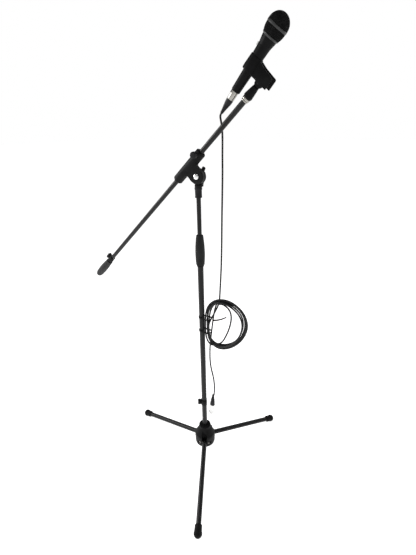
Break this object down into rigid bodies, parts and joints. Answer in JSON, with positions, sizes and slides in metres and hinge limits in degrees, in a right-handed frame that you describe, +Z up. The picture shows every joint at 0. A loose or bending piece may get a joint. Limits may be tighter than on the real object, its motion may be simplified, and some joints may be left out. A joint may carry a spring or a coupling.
{
  "type": "microphone on boom stand",
  "caption": "Hand-held dynamic microphone in a spring clip on a folding tripod boom stand, with its coiled lead tied to the column.",
  "frame": {"origin": "on the floor under the column's axis", "axes": "+Z up along the column, +X the way the boom rises, -Y towards the clamp knob's side"},
  "size_m": [0.7538, 0.6208, 1.5113],
  "materials": {
    "black_cast": "satin black powder coat",
    "black_tube": "satin black enamel on steel tube",
    "black_plastic": "moulded black",
    "nylon": "plain dark nylon",
    "strap": "woven hook and loop",
    "lead_jacket": "smooth matt PVC",
    "boot_rubber": "moulded ribs",
    "nickel": "bright nickel plate",
    "insert_plastic": "moulded black",
    "pin_metal": "plated",
    "foot_rubber": "matt rubber",
    "grip_rubber": "diamond knurl",
    "grey_metal": "satin dark grey",
    "grey_plastic": "moulded dark grey",
    "clip_plastic": "moulded black",
    "spring_steel": "drawn wire",
    "handle_paint": "fine satin black",
    "ring_paint": "satin dark grey",
    "grille_paint": "black woven wire",
    "foam": "open-cell foam",
    "capsule_metal": "turned",
    "magnet": "ground",
    "film": "thin film",
    "switch_white": "moulded pale grey"
  },
  "bodies": {
    "stand": {"hub": "black_plastic", "leg_rivets": "nickel", "outer_tube": "black_tube", "clutch_base": "black_plastic", "clutch_collet": "nylon", "column_clip": "black_plastic", "coil_ties": "strap", "lead_coil": "lead_jacket", "lead_tail": "lead_jacket", "lead_drop": "lead_jacket", "far_boot": "boot_rubber", "far_shell": "nickel", "far_insert": "insert_plastic", "far_pins": "pin_metal"},
    "front_leg": {"leg_1": "black_tube", "foot_1": "foot_rubber"},
    "rear_leg": {"leg_2": "black_tube", "foot_2": "foot_rubber"},
    "side_leg": {"leg_3": "black_tube", "foot_3": "foot_rubber"},
    "grip": {"clutch_grip": "grip_rubber"},
    "riser": {"riser_tube": "black_tube", "riser_bush": "nylon", "riser_socket": "grey_metal"},
    "swivel": {"yoke": "black_cast", "pivot_bolt": "nickel"},
    "wing": {"tilt_wing": "black_plastic"},
    "holder": {"boom_block": "black_cast", "sleeve_liner": "nylon"},
    "knob": {"clamp_knob": "grey_plastic"},
    "boom": {"boom_tube": "black_tube", "counterweight": "grip_rubber", "boom_clip": "black_plastic", "boom_tip": "nickel", "lock_ring": "nickel", "clip_stem": "clip_plastic", "tilt_screw": "nickel"},
    "clip": {"jaw_fixed": "clip_plastic", "clip_pin": "nickel", "clip_spring": "spring_steel"},
    "jaw": {"jaw_moving": "clip_plastic"},
    "microphone": {"mic_handle": "handle_paint", "switch_body": "insert_plastic", "mic_neck_ring": "ring_paint", "grille_lower": "grille_paint", "grille_band": "ring_paint", "grille_dome": "grille_paint", "head_foam": "foam", "capsule_mount": "foot_rubber", "capsule_case": "capsule_metal", "capsule_cover": "insert_plastic", "capsule_magnet": "magnet", "diaphragm": "film", "mic_insert": "insert_plastic", "mic_pins": "pin_metal", "near_shell": "nickel", "near_insert": "insert_plastic", "near_boot": "boot_rubber"},
    "switch": {"mic_switch": "switch_white"},
    "latch": {"near_latch": "insert_plastic"}
  },
  "joints": [
    {"name": "front_leg_fold", "type": "hinge", "parent": "stand", "child": "front_leg", "pos_m": [0.01567, -0.0313, 0.082], "axis": [-0.8942, -0.4478, 0], "range_deg": [0, 102]},
    {"name": "rear_leg_fold", "type": "hinge", "parent": "stand", "child": "rear_leg", "pos_m": [0.01927, 0.02922, 0.082], "axis": [0.8348, -0.5505, 0], "range_deg": [0, 102]},
    {"name": "side_leg_fold", "type": "hinge", "parent": "stand", "child": "side_leg", "pos_m": [-0.03494, 0.00208, 0.082], "axis": [0.0593, 0.9982, 0], "range_deg": [0, 102]},
    {"name": "clutch_twist", "type": "hinge", "parent": "stand", "child": "grip", "pos_m": [0, 0, 0.92], "axis": [0, 0, 1], "range_deg": [0, 90]},
    {"name": "height_slide", "type": "slide", "parent": "stand", "child": "riser", "axis": [0, 0, 1], "range_m": [-0.11, 0.4]},
    {"name": "boom_swivel", "type": "hinge", "parent": "riser", "child": "swivel", "pos_m": [0, 0, 1.119], "axis": [0, 0, 1], "range_deg": [-120, 120]},
    {"name": "boom_tilt", "type": "hinge", "parent": "swivel", "child": "holder", "pos_m": [0, 0, 1.151], "axis": [0, -1, 0], "range_deg": [-60, 40], "deforming": ["lead_drop"]},
    {"name": "wing_turn", "type": "hinge", "parent": "swivel", "child": "wing", "pos_m": [0, 0, 1.151], "axis": [0, 1, 0], "range_deg": [0, 360]},
    {"name": "knob_turn", "type": "hinge", "parent": "holder", "child": "knob", "pos_m": [0.00352, 0, 1.21138], "axis": [0, 1, 0], "range_deg": [0, 360]},
    {"name": "boom_slide", "type": "slide", "parent": "holder", "child": "boom", "axis": [0.7273, 0, 0.6863], "range_m": [-0.14, 0.42]},
    {"name": "clip_tilt", "type": "hinge", "parent": "boom", "child": "clip", "pos_m": [0.1809, 0, 1.37602], "axis": [0, 1, 0], "range_deg": [0, 70]},
    {"name": "jaw_open", "type": "hinge", "parent": "clip", "child": "jaw", "pos_m": [0.17728, 0, 1.39842], "axis": [-0.6401, 0, -0.7683], "range_deg": [0, 8], "stiffness_Nm_per_rad": 0.6},
    {"name": "mic_slide", "type": "slide", "parent": "clip", "child": "microphone", "axis": [0.6401, 0, 0.7683], "range_m": [0, 0.12]},
    {"name": "switch_slide", "type": "slide", "parent": "microphone", "child": "switch", "axis": [0.6401, 0, 0.7683], "range_m": [-0.004, 0]},
    {"name": "latch_press", "type": "slide", "parent": "microphone", "child": "latch", "axis": [0.7683, 0, -0.6401], "range_m": [0, 0.0008], "stiffness_N_per_m": 400}
  ]
}
